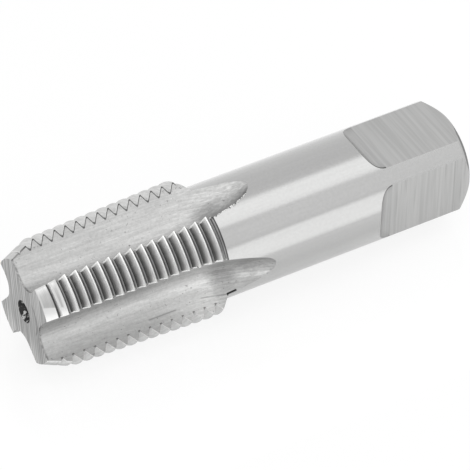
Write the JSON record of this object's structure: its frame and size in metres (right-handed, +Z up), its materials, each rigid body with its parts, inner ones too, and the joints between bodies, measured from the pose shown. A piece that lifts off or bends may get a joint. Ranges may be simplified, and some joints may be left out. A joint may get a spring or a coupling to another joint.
{
  "type": "thread tap",
  "caption": "Right-hand taper pipe tap with straight hooked flutes, a plain round shank and a milled drive square.",
  "frame": {"origin": "centre of the cutting face, on the tap's own axis", "axes": "+X along the tap's axis from the cutting face to the drive end, +Z up as the tap lies on two of its lands"},
  "size_m": [0.073, 0.0194, 0.0194],
  "materials": {
    "ground_steel": "bright ground tool steel, bare, with fine grinding and milling lines"
  },
  "bodies": {
    "root": {"tap": "ground_steel"}
  },
  "joints": []
}
